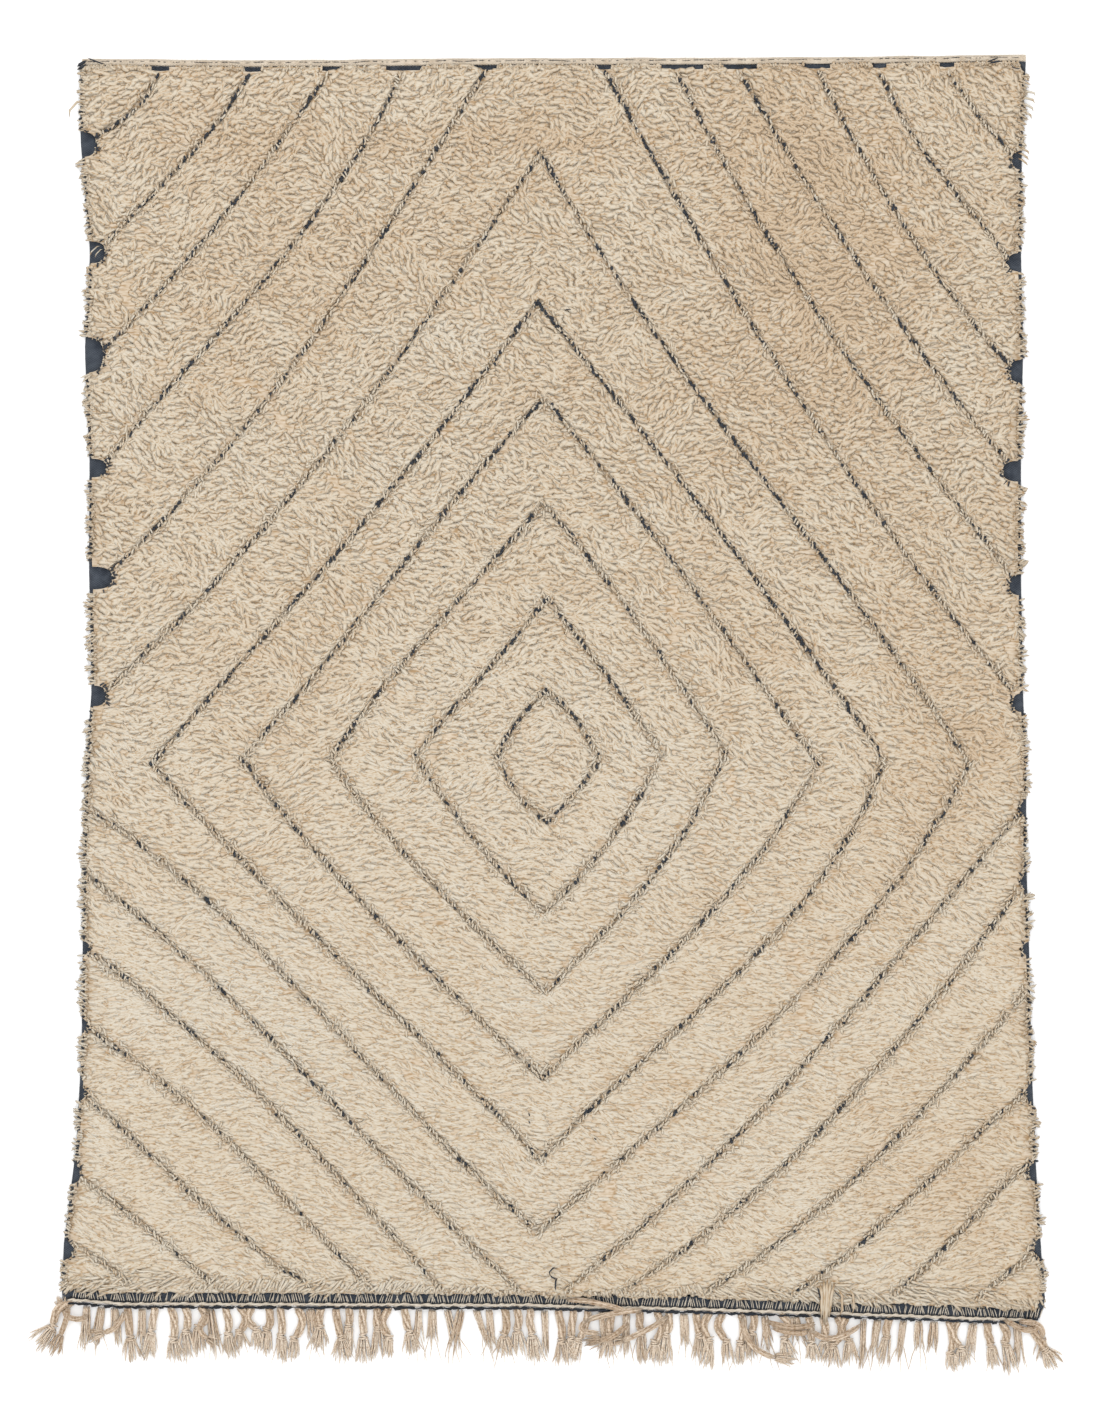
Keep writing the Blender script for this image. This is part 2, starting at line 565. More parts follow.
def strand_pattern(sides, shares):
    """One closed strand along Z, from 0 to 1: which station each corner is at, where it lies
    across the strand, and its triangles."""
    bm = bmesh.new()
    bmesh.ops.create_cone(bm, cap_ends=True, segments=sides, radius1=1, radius2=1, depth=1)
    low, high = shares[1], shares[-2]
    for vert in bm.verts:
        vert.co.z = low if vert.co.z < 0 else high
    for share in shares[2:-2]:
        parts = bm.verts[:] + bm.edges[:] + bm.faces[:]
        bmesh.ops.bisect_plane(bm, geom=parts, plane_co=(0, 0, share), plane_no=(0, 0, 1))
    caps = [face for face in bm.faces if abs(face.normal.z) > 0.9]
    for pole in bmesh.ops.poke(bm, faces=caps)["verts"]:
        pole.co.z = shares[0] if pole.co.z < (low + high) / 2 else shares[-1]
    bmesh.ops.triangulate(bm, faces=bm.faces)
    bmesh.ops.recalc_face_normals(bm, faces=bm.faces)
    corners = np.array([vert.co for vert in bm.verts])
    at = np.abs(corners[:, 2:3] - np.array(shares)).argmin(1)
    across = corners[:, :2].copy()
    triangles = np.array([[vert.index for vert in face.verts] for face in bm.faces])
    bm.free()
    return at, across, triangles


class Strands:
    """Strands of one kind, gathered and then made into a few meshes. The meshes' UV map holds the
    strand's tone, with a little of its width by its grain, and how far along it a corner is."""

    def __init__(self, sides, flat, shares=YARN_SHARES, sizes=YARN_SIZES, grain=1.0):
        self.shares, self.sizes, self.flat = np.array(shares), np.array(sizes), flat
        self.grain = grain
        self.pattern = strand_pattern(sides, shares)
        self.paths, self.widths, self.tones = [], [], []

    def add(self, paths, widths, tones):
        """paths holds one row of places for each strand, one for each station."""
        self.paths.append(paths)
        self.widths.append(np.broadcast_to(widths, len(paths)))
        self.tones.append(np.clip(np.broadcast_to(tones, len(paths)), 0, 1))

    def corners(self, paths, widths):
        """Where the strands' corners are, a row for each strand."""
        at, across, _ = self.pattern
        ways = np.gradient(paths, axis=1)
        ways /= np.linalg.norm(ways, axis=2, keepdims=True)
        side = np.cross(ways, (0.0, 0.0, 1.0))
        side /= np.linalg.norm(side, axis=2, keepdims=True) + 1e-9
        up = np.cross(side, ways)
        reach = across[None] * self.sizes[at][None, :, None] * widths[:, None, None] / 2
        places = paths[:, at] + side[:, at] * reach[:, :, 0:1]
        places += up[:, at] * reach[:, :, 1:2] * self.flat
        places[:, :, 2] = np.maximum(places[:, :, 2], 0.0)
        return places

    def mesh(self, name, paths, widths, tones):
        at, across, triangles = self.pattern
        places = self.corners(paths, widths)
        count, corners = len(paths), len(at)
        faces = (triangles[None] + np.arange(count)[:, None, None] * corners).reshape(-1)
        mesh = bpy.data.meshes.new(name)
        mesh.vertices.add(count * corners)
        mesh.vertices.foreach_set("co", places.astype(np.float32).ravel())
        mesh.loops.add(len(faces))
        mesh.loops.foreach_set("vertex_index", faces.astype(np.int32))
        mesh.polygons.add(len(faces) // 3)
        mesh.polygons.foreach_set("loop_start", np.arange(0, len(faces), 3, dtype=np.int32))
        mesh.update(calc_edges=True)
        margin = 0.01 + self.grain * widths.max() / 2
        u = margin + (1 - 2 * margin) * tones[:, None]
        u = u + self.grain * across[:, 0] * widths[:, None] / 2
        v = np.broadcast_to(self.shares[at] * 0.98 + 0.01, u.shape)
        uv = np.stack([u, v], axis=2).reshape(-1, 2)[faces]
        mesh.uv_layers.new(name="OFBake").data.foreach_set("uv", uv.astype(np.float32).ravel())
        return mesh

    def finish(self, name, pieces, material, slot, *replaced):
        """Makes the pieces, each a part of the rug from its top down."""
        paths = np.concatenate(self.paths)
        widths, tones = np.concatenate(self.widths), np.concatenate(self.tones)
        order = np.argsort(-paths[:, 0, 1], kind="stable")
        made = []
        for number, part in enumerate(np.array_split(order, pieces), start=1):
            title = f"{name}_{number}" if pieces > 1 else name
            mesh = self.mesh(title, paths[part], widths[part], tones[part])
            made.append(shown(title, mesh, material, slot, *replaced))
        return made


def bowed(starts, middles, ends, shares=YARN_SHARES):
    """Paths that leave each start, bend towards the middle and reach the end."""
    t = np.array(shares)[None, :, None]
    starts, middles, ends = (np.asarray(spots)[:, None] for spots in (starts, middles, ends))
    return (1 - t) ** 2 * starts + 2 * t * (1 - t) * middles + t**2 * ends


def twine(strands, x, y, level, turn, swing, width, tone):
    """Two plies wound round each other along a line. They swing sideways and up."""
    for phase in (0.0, math.pi):
        aside = y + swing[0] * np.sin(turn + phase)
        path = in_frame(x, aside, level + swing[1] * np.cos(turn + phase))
        strands.add(path[None], width, tone)


# ---- Materials ----

def feed(made, inputs):
    """Sets a node's inputs to values, or links them to other nodes' outputs."""
    for name, value in inputs.items():
        if isinstance(value, bpy.types.NodeSocket):
            made.id_data.links.new(value, made.inputs[name])
        else:
            made.inputs[name].default_value = value


def node(tree, kind, inputs, **settings):
    made = tree.nodes.new("ShaderNode" + kind)
    for name, value in settings.items():
        setattr(made, name, value)
    feed(made, inputs)
    return made


def maths(tree, operation, *values):
    return node(tree, "Math", dict(enumerate(values)), operation=operation).outputs[0]


def blend(tree, factor, first, second, kind="MIX"):
    inputs = {"Factor": factor, "A": first, "B": second}
    return node(tree, "Mix", inputs, data_type="RGBA", blend_type=kind).outputs["Result"]


def ramp(tree, fac, stops):
    made = node(tree, "ValToRGB", {"Fac": fac})
    elements = made.color_ramp.elements
    while len(elements) < len(stops):
        elements.new(0.5)
    for element, (at, colour) in zip(elements, stops):
        element.position = at
        element.color = (*colour, 1)
    return made.outputs["Color"]


def bump(tree, height, depth, strength):
    inputs = {"Height": height, "Distance": depth, "Strength": strength}
    return node(tree, "Bump", inputs).outputs["Normal"]


def plain(name, colour, roughness):
    made = bpy.data.materials.new(name)
    made.use_nodes = True
    shader = made.node_tree.nodes["Principled BSDF"]
    feed(shader, {"Base Color": (*colour, 1), "Roughness": roughness})
    return made


def woollen(name, colour):
    """A matte wool with a faint sheen, and its node tree and shader."""
    made = plain(name, colour, 0.95)
    shader = made.node_tree.nodes["Principled BSDF"]
    sheen = {"Sheen Weight": 0.05, "Sheen Roughness": 0.6, "Sheen Tint": (0.90, 0.70, 0.48, 1)}
    feed(shader, {"Specular IOR Level": 0.08, **sheen})
    return made, made.node_tree, shader


def new_group(name, inputs, outputs):
    """A node group with named sockets, and what it is given."""
    tree = bpy.data.node_groups.new(name, "ShaderNodeTree")
    for title, kind in inputs:
        tree.interface.new_socket(title, in_out="INPUT", socket_type="NodeSocket" + kind)
    for title in outputs:
        tree.interface.new_socket(title, in_out="OUTPUT", socket_type="NodeSocketFloat")
    return tree, tree.nodes.new("NodeGroupInput").outputs


def fibre_group():
    """Noise drawn out along one axis, as wool fibres are."""
    tree, given = new_group("wool_fibres", (("Place", "Vector"), ("Scale", "Vector")), ("Height",))
    drawn = node(tree, "Mapping", {"Vector": given["Place"], "Scale": given["Scale"]})
    inputs = {"Vector": drawn.outputs["Vector"], "Scale": 1.0, "Detail": 2.0}
    height = node(tree, "TexNoise", inputs).outputs["Fac"]
    feed(tree.nodes.new("NodeGroupOutput"), {"Height": height})
    return tree


def weave_group():
    """Threads that pass over and under each other, at a pitch in metres."""
    sockets = ("Place", "Vector"), ("Across", "Float"), ("Along", "Float")
    tree, given = new_group("plain_weave", sockets, ("Height", "Mottle"))
    split = node(tree, "SeparateXYZ", {"Vector": given["Place"]}).outputs
    waves = []
    for axis, pitch in (("X", "Across"), ("Y", "Along")):
        turns = maths(tree, "DIVIDE", split[axis], given[pitch])
        waves.append(maths(tree, "SINE", maths(tree, "MULTIPLY", turns, math.pi)))
    crossing = maths(tree, "MULTIPLY", *waves)
    fuzz = node(tree, "TexNoise", {"Vector": given["Place"], "Scale": 900.0})
    broad = node(tree, "TexNoise", {"Vector": given["Place"], "Scale": 60.0, "Detail": 6.0})
    height = maths(tree, "ADD", crossing, fuzz.outputs["Fac"])
    feed(tree.nodes.new("NodeGroupOutput"), {"Height": height, "Mottle": broad.outputs["Fac"]})
    return tree


def woven_material(name, weave, pitches, tones, depth):
    """Flat woven wool: mottled in tone, with its threads as bump and a little shade."""
    made, tree, shader = woollen(name, tones[0][1])
    place = node(tree, "TexCoord", {}).outputs["Object"]
    inputs = {"Place": place, "Across": pitches[0], "Along": pitches[1]}
    threads = node(tree, "Group", inputs, node_tree=weave).outputs
    mixed = maths(tree, "ADD", maths(tree, "MULTIPLY", threads["Height"], 0.18), threads["Mottle"])
    tone = ramp(tree, maths(tree, "SUBTRACT", mixed, 0.08), tones)
    feed(shader, {"Base Color": tone, "Normal": bump(tree, threads["Height"], depth, 0.7)})
    return made


def fibre_height(tree, fibres, place, scale):
    return node(tree, "Group", {"Place": place, "Scale": scale}, node_tree=fibres).outputs["Height"]


def strand_material(name, fibres, root, tones, rise, streaks, shades):
    """Spun wool: a tone from the map's first value, darker at the root along its second, and
    streaked along the strand."""
    made, tree, shader = woollen(name, tones[0][1])
    uv = node(tree, "UVMap", {}, uv_map="OFBake").outputs["UV"]
    split = node(tree, "SeparateXYZ", {"Vector": uv}).outputs
    inputs = {"Value": split["Y"], "From Min": rise[0], "From Max": rise[1]}
    risen = node(tree, "MapRange", inputs, interpolation_type="SMOOTHSTEP").outputs["Result"]
    colour = blend(tree, risen, (*root, 1), ramp(tree, split["X"], tones))
    height = fibre_height(tree, fibres, uv, (*streaks, 1.0))
    streaked = blend(tree, 1.0, colour, ramp(tree, height, shades), "MULTIPLY")
    feed(shader, {"Base Color": streaked, "Normal": bump(tree, height, 0.0010, 0.4)})
    return made


def backing_material(fibres):
    """Tan under the yarns, and navy at the bottom of the lanes."""
    made, tree, shader = woollen("backing_wool", (0.3, 0.2, 0.12))
    place = node(tree, "TexCoord", {}).outputs["Object"]
    height = node(tree, "SeparateXYZ", {"Vector": place}).outputs["Z"]
    inputs = {"Value": height, "From Min": BACKING_NAVY[0], "From Max": BACKING_NAVY[1]}
    level = node(tree, "MapRange", inputs).outputs["Result"]
    stops = (0.36, (0.32, 0.215, 0.12)), (0.48, (0.45, 0.36, 0.26)), (0.64, (0.52, 0.44, 0.345))
    tan = ramp(tree, fibre_height(tree, fibres, place, (60.0, 230.0, 60.0)), stops)
    feed(shader, {"Base Color": blend(tree, level, (0.030, 0.036, 0.046, 1), tan)})
    return made


# ---- Ground and top band ----

def make_ground(weave):
    """The navy cloth that carries the knots."""

    def place(u, v):
        low = read_off(BOTTOM_EDGE, 0.0, 1) - GROUND_PAST_CORD
        y = low + (read_off(TOP_EDGE, 0.0, 1) - BAND_WIDTH - GROUND_TO_BAND - low) * v
        corner = GROUND_CORNER + GROUND_FLARE * (y - low)
        left = np.maximum(read_off(SELVEDGES, y, 1), CORD_ENDS[0] - corner)
        right = np.minimum(read_off(SELVEDGES, y, 2), CORD_ENDS[1] + corner)
        x = left + (right - left) * u
        lower = read_off(BOTTOM_EDGE, x, 1) - read_off(BOTTOM_EDGE, 0.0, 1)
        upper = read_off(TOP_EDGE, x, 1) - read_off(TOP_EDGE, 0.0, 1)
        spots = in_frame(x, y + lower * (1 - v) + upper * v)
        return np.column_stack([spots, GROUND_THICK - 0.0002 + 0.0001 * ripple(spots, 90.0, 9.0)])

    bm = cloth_strip(*GROUND_GRID, place, GROUND_THICK - 0.0004)
    made = woven_material(
        "navy_cloth",
        weave,
        pitches=(0.0030, 0.0022),
        tones=((0.30, (0.026, 0.033, 0.045)), (0.75, (0.068, 0.080, 0.098))),
        depth=0.0006,
    )
    return shown("ground_cloth", from_bmesh("ground_cloth", bm), made, "navy_wool", "ground_weave")


def band_edge(x):
    """The band's outer edge, a little uneven."""
    return read_off(TOP_EDGE, x, 1) + 0.0009 * sway(x, 14.0, 7.0)


def make_band(weave, cream, navy):
    """The flat band, the thin cord along its outer edge, the broken dark thread beside that, and
    the dark stitches along its inner edge."""
    first, last = BAND_ENDS[0] - BAND_REACH, BAND_ENDS[1] + BAND_REACH
    length = last - first

    def place(u, v):
        x = first + length * u
        ribs = 1 + 0.10 * np.sin(x * 2 * math.pi / BAND_RIB)
        z = read_off(BAND_PROFILE, 1 - v, 1) * ribs + BAND_LIFT
        return in_frame(x, band_edge(x) - BAND_WIDTH * (1 - v), z)

    bm = cloth_strip(900, 8, place, BAND_THICK)
    made = woven_material(
        "band_cloth",
        weave,
        pitches=(0.0028, 0.0016),
        tones=((0.30, (0.43, 0.35, 0.26)), (0.62, (0.58, 0.505, 0.41))),
        depth=0.0005,
    )
    band = shown("band_cloth", from_bmesh("band_cloth", bm), made, "cream_band", "top_band")

    shares = np.linspace(0, 1, CORD_STATIONS)
    x = first + 0.001 + (length - 0.002) * shares
    cord = Strands(4, 1.0, shares, np.ones(len(shares)) * (shares > 0) * (shares < 1))
    y, turn = band_edge(x) - EDGE_CORD_IN, x * 2 * math.pi / EDGE_CORD_TURN
    twine(cord, x, y, EDGE_CORD_LEVEL, turn, (0.0007, 0.0006), EDGE_CORD_WIDTH, 0.45)

    dice = np.random.default_rng(SEED + 1)
    stitches = Strands(3, 0.8)
    starts = np.cumsum(dice.uniform(0.004, 0.020, 180)) + first
    starts = starts[starts < last - 0.02]
    ends = starts + dice.uniform(0.003, 0.017, len(starts))
    x = starts[:, None] + (ends - starts)[:, None] * np.array(YARN_SHARES)
    y = band_edge(x.ravel()).reshape(x.shape) - BROKEN_THREAD_IN + 0.0008 * np.sin(x * 90)
    widths, tones = dice.uniform(0.0012, 0.0024, len(x)), dice.uniform(0.1, 0.7, len(x))
    stitches.add(in_frame(x, y, BROKEN_THREAD_LEVEL), widths, tones)

    x = np.arange(first + 0.01, last - 0.01, BAND_STITCH_PITCH)
    x = x + dice.uniform(-0.0015, 0.0015, len(x))
    x = x[dice.uniform(0, 1, len(x)) < 0.55]
    y = band_edge(x) - BAND_WIDTH + dice.uniform(-0.0015, 0.0015, len(x))
    starts = in_frame(x, y, 0.004)
    ends = starts + np.column_stack([dice.normal(0, 0.0018, len(x)), 0 * x - 0.006, 0 * x + 0.006])
    middles = (starts + ends) / 2 + (0, 0, 0.006)
    widths, tones = dice.uniform(0.0020, 0.0034, len(x)), dice.uniform(0.1, 0.7, len(x))
    stitches.add(bowed(starts, middles, ends), widths, tones)
    made = [band] + cord.finish("band_cord", 1, cream, "cream_band")
    return made + stitches.finish("band_stitches", 1, navy, "navy_wool")


# ---- Pile ----

def height_finder(bm):
    """Returns a function for the height of a mesh's upper side at many places, or nothing there."""
    tree = BVHTree.FromBMesh(bm)

    def heights(places):
        found = []
        for x, y in places:
            hit = tree.ray_cast((x, y, 1.0), (0, 0, -1))[0]
            found.append(hit.z if hit else np.nan)
        return np.array(found)

    return heights


def patch_cutter():
    """Upright rounded and square columns where the rug is bare."""
    bm = bmesh.new()
    for column, _, patches in SIDES:
        for middle, half, depth in patches:
            made = bmesh.ops.create_cone(
                bm, cap_ends=True, segments=24, radius1=1, radius2=1, depth=0.2
            )["verts"]
            for vert in made:
                fuller = np.abs(vert.co.xy) ** PATCH_ROUND
                vert.co.xy = np.sign(vert.co.xy) * fuller
            spot = in_frame(read_off(SELVEDGES, middle, column), middle, 0)
            bmesh.ops.scale(bm, verts=made, vec=(depth, half, 1))
            bmesh.ops.translate(bm, verts=made, vec=spot)
    for middle, half in TOP_BARE:
        spot = in_frame(middle, read_off(TOP_EDGE, middle, 1) - BAND_WIDTH, 0)
        made = bmesh.ops.create_cube(bm, size=2)["verts"]
        bmesh.ops.scale(bm, verts=made, vec=(half, TOP_BARE_DEPTH, 0.1))
        bmesh.ops.translate(bm, verts=made, vec=spot)
    bmesh.ops.recalc_face_normals(bm, faces=bm.faces)
    return passing("patch_cutter", bm)


def cut_patches(bm):
    """The same mesh without what stands on the bare patches."""
    whole, cutter = passing("uncut", bm), patch_cutter()
    cut = whole.modifiers.new("cut", "BOOLEAN")
    cut.operation, cut.solver, cut.object = "DIFFERENCE", "EXACT", cutter
    evaluated = whole.evaluated_get(bpy.context.evaluated_depsgraph_get())
    left = bmesh.new()
    left.from_mesh(evaluated.to_mesh())
    evaluated.to_mesh_clear()
    bpy.data.objects.remove(whole)
    bpy.data.objects.remove(cutter)
    bmesh.ops.triangulate(left, faces=left.faces)
    return left


def make_backing(fibres):
    """The pile's backing: the solid's form, but lower. Its heights come first."""
    bm = solid_copy("pile")
    floor = min(vert.co.z for vert in bm.verts)
    for vert in bm.verts:
        vert.co.z = floor + (vert.co.z - floor) * BACKING_SHARE
    top = max(vert.co.z for vert in bm.verts)
    for vert in bm.verts:
        if vert.co.z > floor + 0.001:
            vert.co.z = top - (top - vert.co.z) * (1 - LANE_FILL)
    x, y = (np.array([vert.co[:2] for vert in bm.verts]) - SHIFT).T
    x = np.clip(x, read_off(SELVEDGES, y, 1) + RIM_IN, read_off(SELVEDGES, y, 2) - RIM_IN)
    y = np.maximum(y, read_off(BOTTOM_EDGE, x, 1) + rim_gap(x))
    for vert, spot in zip(bm.verts, in_frame(x, y)):
        vert.co.xy = spot
    bm = cut_patches(bm)
    heights, wool = height_finder(bm), backing_material(fibres)
    piece = shown("pile_backing", from_bmesh("pile_backing", bm), wool, "cream_pile", "pile")
    return heights, piece


def lattice(low, high, pitch, dice):
    """Places about a pitch apart, unevenly."""
    rows = np.arange(low[1], high[1], pitch * 0.87)
    columns = np.arange(low[0], high[0], pitch)
    x, y = np.meshgrid(columns, rows)
    x[1::2] += pitch / 2
    places = np.stack([x.ravel(), y.ravel()], axis=1)
    return places + dice.uniform(-0.36, 0.36, places.shape) * pitch


class Pile:
    """Strands that rise from their roots on the backing, lie over and end a little lower."""

    def __init__(self, heights, shares=YARN_SHARES, sizes=YARN_SIZES):
        self.heights, self.shares = heights, shares
        self.rise = np.interp(shares, (0, 0.25, 0.8, 1), (0, 1, 0.95, 0.6))
        self.strands = Strands(3, PILE_FLAT, shares, sizes, PILE_GRAIN)

    def paths(self, roots, angles, lengths, curls, lifts):
        shares = self.shares
        bends = angles[:, None] + curls[:, None] * np.array(shares)
        made = np.zeros((len(roots), len(shares), 3))
        place = roots
        last = self.heights(roots)
        last = np.where(np.isnan(last), GROUND_THICK, last)
        made[:, 0, :2], made[:, 0, 2] = roots, last - ROOT_DEPTH
        for i in range(1, len(shares)):
            step = lengths * (shares[i] - shares[i - 1])
            place = place + aimed((bends[:, i] + bends[:, i - 1]) / 2) * step[:, None]
            under = self.heights(place)
            under = np.where(np.isnan(under), PILE_LOWEST, under)
            last = np.maximum(under, last - SLOPE_DROP)
            made[:, i, :2] = place
            made[:, i, 2] = last + lifts * self.rise[i]
        return made

    def lay_loose(self, rows):
        """Lays the single yarns of a table on what is under them."""
        rows = np.array(rows)
        starts, middles, ends = (rows[:, i : i + 2] + SHIFT for i in (0, 2, 4))
        flat = bowed(starts, middles, ends, self.shares)
        under = self.heights(flat.reshape(-1, 2)).reshape(flat.shape[:2])
        highest = np.where(np.isnan(under), 0.004, under)
        hanging = highest[:, :1] * np.array(LOOSE_LEVEL)
        paths = np.dstack([flat, np.maximum(highest + LOOSE_LIFT, hanging)])
        self.strands.add(paths, rows[:, 6], rows[:, 7])

    def lay(self, roots, angles, lengths, curls, lifts, widths, tones):
        """Lays strands whose roots are on the pile and which leave the bare patches open."""
        keep = ~np.isnan(self.heights(roots))
        given = (roots, angles, lengths, curls, lifts, widths, tones)
        roots, angles, lengths, curls, lifts, widths, tones = (value[keep] for value in given)
        made = self.paths(roots, angles, lengths, curls, lifts)
        margin = 0.42 * widths.max() - 0.001
        limit = read_off(TOP_EDGE, made[:, :, 0] - SHIFT[0], 1) - BAND_WIDTH + SHIFT[1] + OVER_BAND
        clear = (made[:, :, 1] < limit).all(1)
        for station in range(1, len(self.shares)):
            clear &= ~bare(made[:, station, :2], margin)
        self.strands.add(made[clear], widths[clear], tones[clear])


def pile_tones(places, dice):
    """How pale the pile is, from 0 to 1: broad and small patches, and each yarn's own."""
    tones = 0.50 + 0.20 * ripple(places, 3.0, 5.0) + 0.16 * ripple(places, 28.0, 6.0)
    tones += 0.14 * ripple(places * (0.6, 1.8), 14.0, 17.0)
    tones -= 0.12 * places[:, 0] + 0.14 * places[:, 1]
    for x, y, wide, tall, change in TONE_FIELDS:
        far = ((places[:, 0] - x) / wide) ** 2 + ((places[:, 1] - y) / tall) ** 2
        tones += change * np.exp(-far)
    return tones + dice.normal(0, 0.09, len(places))


def upper_share(places):
    """1 at the top of the rug, where the pile is curly, and 0 where it lies smooth."""
    return np.clip(0.5 + places[:, 1], 0, 1)


def lay_angles(places, dice):
    """Which way the pile lies: mostly across the rug, in swirls."""
    count, upper = len(places), upper_share(places)
    angles = -0.15 + 0.45 * ripple(places, 2.2, 1.0)
    angles += (0.35 + 0.55 * upper) * ripple(places, 11.0, 2.0)
    flip = ripple(places, 3.0, 3.0) + dice.normal(0, 0.08, count) > 0
    return angles + dice.normal(0, 1, count) * (0.10 + 0.16 * upper) + math.pi * flip


def shortened(lengths, reach, room):
    """Lengths cut down where the part that counts, the reach, would pass the room."""
    cut = np.maximum(room / np.maximum(reach, 0.1), 0.010)
    return np.where(reach * lengths > room, cut, lengths)


def within_selvedges(lengths, x, y, angles, over):
    """Lengths cut down where yarns would hang further over a selvedge than they may."""
    for column, sign, _ in SIDES:
        room = sign * (read_off(SELVEDGES, y, column) - x) + over
        lengths = shortened(lengths, sign * np.cos(angles), room)
    return lengths


def held_in(roots, angles, lengths, dice):
    """Shortens locks that would hang far over a selvedge or the dark strip, and turns those that
    reach the band or a bare patch."""
    x, y = (roots - SHIFT).T
    over = dice.uniform(-0.002, 0.005, len(roots))
    lengths = within_selvedges(lengths, x, y, angles, over)
    room = y - read_off(BOTTOM_EDGE, x, 1) - rim_gap(x) + over * 0.4 - 0.006
    lengths = shortened(lengths, -np.sin(angles), room)
    top = read_off(TOP_EDGE, x, 1) - BAND_WIDTH - y
    angles = np.where(np.sin(angles) * lengths > top, -angles, angles)
    tips = roots + aimed(angles) * lengths[:, None]
    return np.where(bare(tips, 0.004), angles + math.pi, angles), lengths


def beside_lanes(roots, angles, lengths, lanes, near, gap, room):
    """Turns yarns that would lie across a bare lane, so that they end at its edge."""
    headings = lanes.headings[near]
    tips = roots + aimed(angles) * lengths[:, None]
    across = np.stack([-np.sin(headings), np.cos(headings)], axis=1)
    start = ((roots - lanes.places[near]) * across).sum(1)
    end = ((tips - lanes.places[near]) * across).sum(1)
    crosses = (start * end < 0) | (np.abs(end) < room)
    crosses &= gap < lengths + room
    along = np.where(np.cos(headings - angles) < 0, headings + math.pi, headings)
    towards = np.arcsin(np.clip((gap - room) / lengths, 0.02, 1.0))
    turn = -np.sign(start) * np.sign(np.cos(along - headings))
    return crosses, along + turn * towards


def yarn_dice(kind, count, dice):
    """Each yarn's curl, lift and width."""
    curl, lifts, widths = kind
    return dice.normal(0, curl, count), dice.uniform(*lifts, count), dice.uniform(*widths, count)


def lay_main(pile, lanes, dice):
    """The pile between the lanes."""
    low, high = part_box("pile")
    roots = lattice((low.x, low.y), (high.x, high.y), LOCK_PITCH, dice)
    widths = dice.uniform(*LOCK_WIDTH, len(roots))
    near, gap = lanes.nearest(roots)
    room = lanes.room(near) + widths * 0.15
    keep = gap > room
    roots, widths, near, gap, room = (each[keep] for each in (roots, widths, near, gap, room))
    count, upper = len(roots), upper_share(roots)
    lengths = dice.uniform(*LOCK_LENGTH, count) * (1.1 - 0.25 * upper)
    angles, lengths = held_in(roots, lay_angles(roots, dice), lengths, dice)
    crosses, turned = beside_lanes(roots, angles, lengths, lanes, near, gap, room)
    obeys = crosses & (dice.uniform(0, 1, count) < 0.45 + 0.52 * lanes.dark[near])
    angles = np.where(obeys, turned + dice.normal(0, 0.05, count), angles)
    curls = dice.normal(0, 0.6, count) * (0.7 + 0.6 * upper) * ~obeys
    lifts = dice.uniform(*LOCK_LIFT, count) * (0.15 + 0.85 * upper)
    pile.lay(roots, angles, lengths, curls, lifts, widths, pile_tones(roots, dice))


def lay_lane_edges(pile, lanes, dice):
    """Yarns that lie along both edges of each lane."""
    for sign in (-1, 1):
        picked = np.arange(0, len(lanes.places), 4)
        count, room = len(picked), lanes.room(picked)
        headings = lanes.headings[picked] + math.pi * (dice.uniform(0, 1, count) < 0.5)
        across = np.stack([-np.sin(headings), np.cos(headings)], axis=1) * sign
        roots = lanes.places[picked] + across * (room + dice.uniform(0.0028, 0.006, count))[:, None]
        angles = headings + sign * dice.uniform(-0.15, 0.80, count)
        lengths = dice.uniform(0.013, 0.022, count)
        rest = yarn_dice(LANE_EDGE_YARNS, count, dice)
        pile.lay(roots, angles, lengths, *rest, pile_tones(roots, dice))


def lane_strokes(pile, lanes, first, chance, kind, dice):
    """Short yarns at every other place along the lanes. They lie steeper than the lane, which
    gives it its hatched look."""
    picked = np.arange(first, len(lanes.places), 2)
    low, high = chance
    dark = lanes.dark[picked]
    picked = picked[dice.uniform(0, 1, len(picked)) < low + (high - low) * dark]
    count = len(picked)
    headings = (lanes.headings[picked] + math.pi / 2) % math.pi - math.pi / 2
    slant = 0.55 + 0.40 * ripple(lanes.places[picked], 16.0, 16.0) + dice.normal(0, 0.30, count)
    angles = headings + np.where(headings > 0, 1, -1) * slant
    angles = angles + math.pi * (dice.uniform(0, 1, count) < 0.5)
    lengths, lifts, widths = kind
    lengths = dice.uniform(*lengths, count)
    roots = lanes.places[picked] - aimed(angles) * (lengths * 0.5)[:, None]
    roots = roots + dice.normal(0, 0.0013, roots.shape)
    curls, tones = dice.normal(0, 0.4, count), dice.uniform(0.15, 0.95, count)
    lifts, widths = dice.uniform(*lifts, count), dice.uniform(*widths, count)
    pile.lay(roots, angles, lengths, curls, lifts, widths, tones)


def lay_hatching(cream, navy, lanes, dice):
    """Navy knots in the lanes, and thin pale yarns that cross between them."""
    lane_strokes(cream, lanes, 1, (0.9, 0.45), PALE_STROKES, dice)
    lane_strokes(navy, lanes, 0, (-0.15, 0.98), NAVY_STROKES, dice)
    lane_strokes(navy, lanes, 1, (-1.0, 0.6), NAVY_STROKES, dice)


